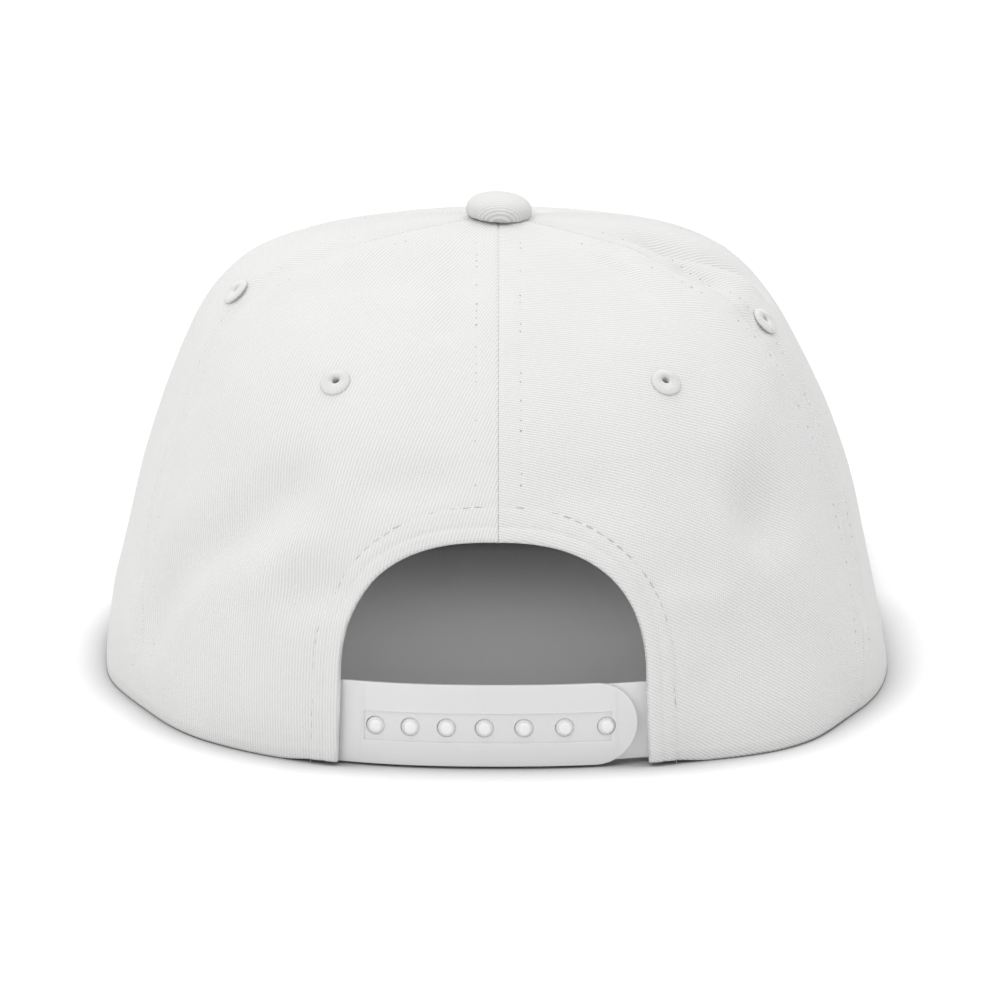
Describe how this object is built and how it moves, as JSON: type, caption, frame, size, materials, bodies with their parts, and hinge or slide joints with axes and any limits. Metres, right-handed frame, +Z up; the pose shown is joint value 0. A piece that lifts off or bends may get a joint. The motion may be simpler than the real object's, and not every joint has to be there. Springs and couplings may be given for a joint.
{
  "type": "flat bill cap",
  "caption": "White flat bill cap with a panelled structured crown, covered top button, stitched vent eyelets and a plastic snap strap across an arched back opening.",
  "frame": {"origin": "centre of the head opening, on the plane that the rim and the bill rest on", "axes": "+Y forwards to the bill, +Z up, +X to the wearer's right"},
  "size_m": [0.1732, 0.2571, 0.1029],
  "materials": {
    "crown_twill": "brushed white twill",
    "bill_twill": "white twill over a stiff board, in stitched rows",
    "button_twill": "white twill stretched over a dome",
    "band_cloth": "soft white woven band",
    "strap_plastic": "milky white satin plastic",
    "eyelet_thread": "white wound thread"
  },
  "bodies": {
    "root": {"front_panel": "crown_twill", "side_panel_left": "crown_twill", "side_panel_right": "crown_twill", "back_panel_left": "crown_twill", "back_panel_right": "crown_twill", "bill": "bill_twill", "top_button": "button_twill", "sweatband": "band_cloth", "hole_tab": "strap_plastic", "peg_tab": "strap_plastic", "eyelet_back_left": "eyelet_thread", "eyelet_back_right": "eyelet_thread", "eyelet_side_left": "eyelet_thread", "eyelet_side_right": "eyelet_thread"}
  },
  "joints": []
}
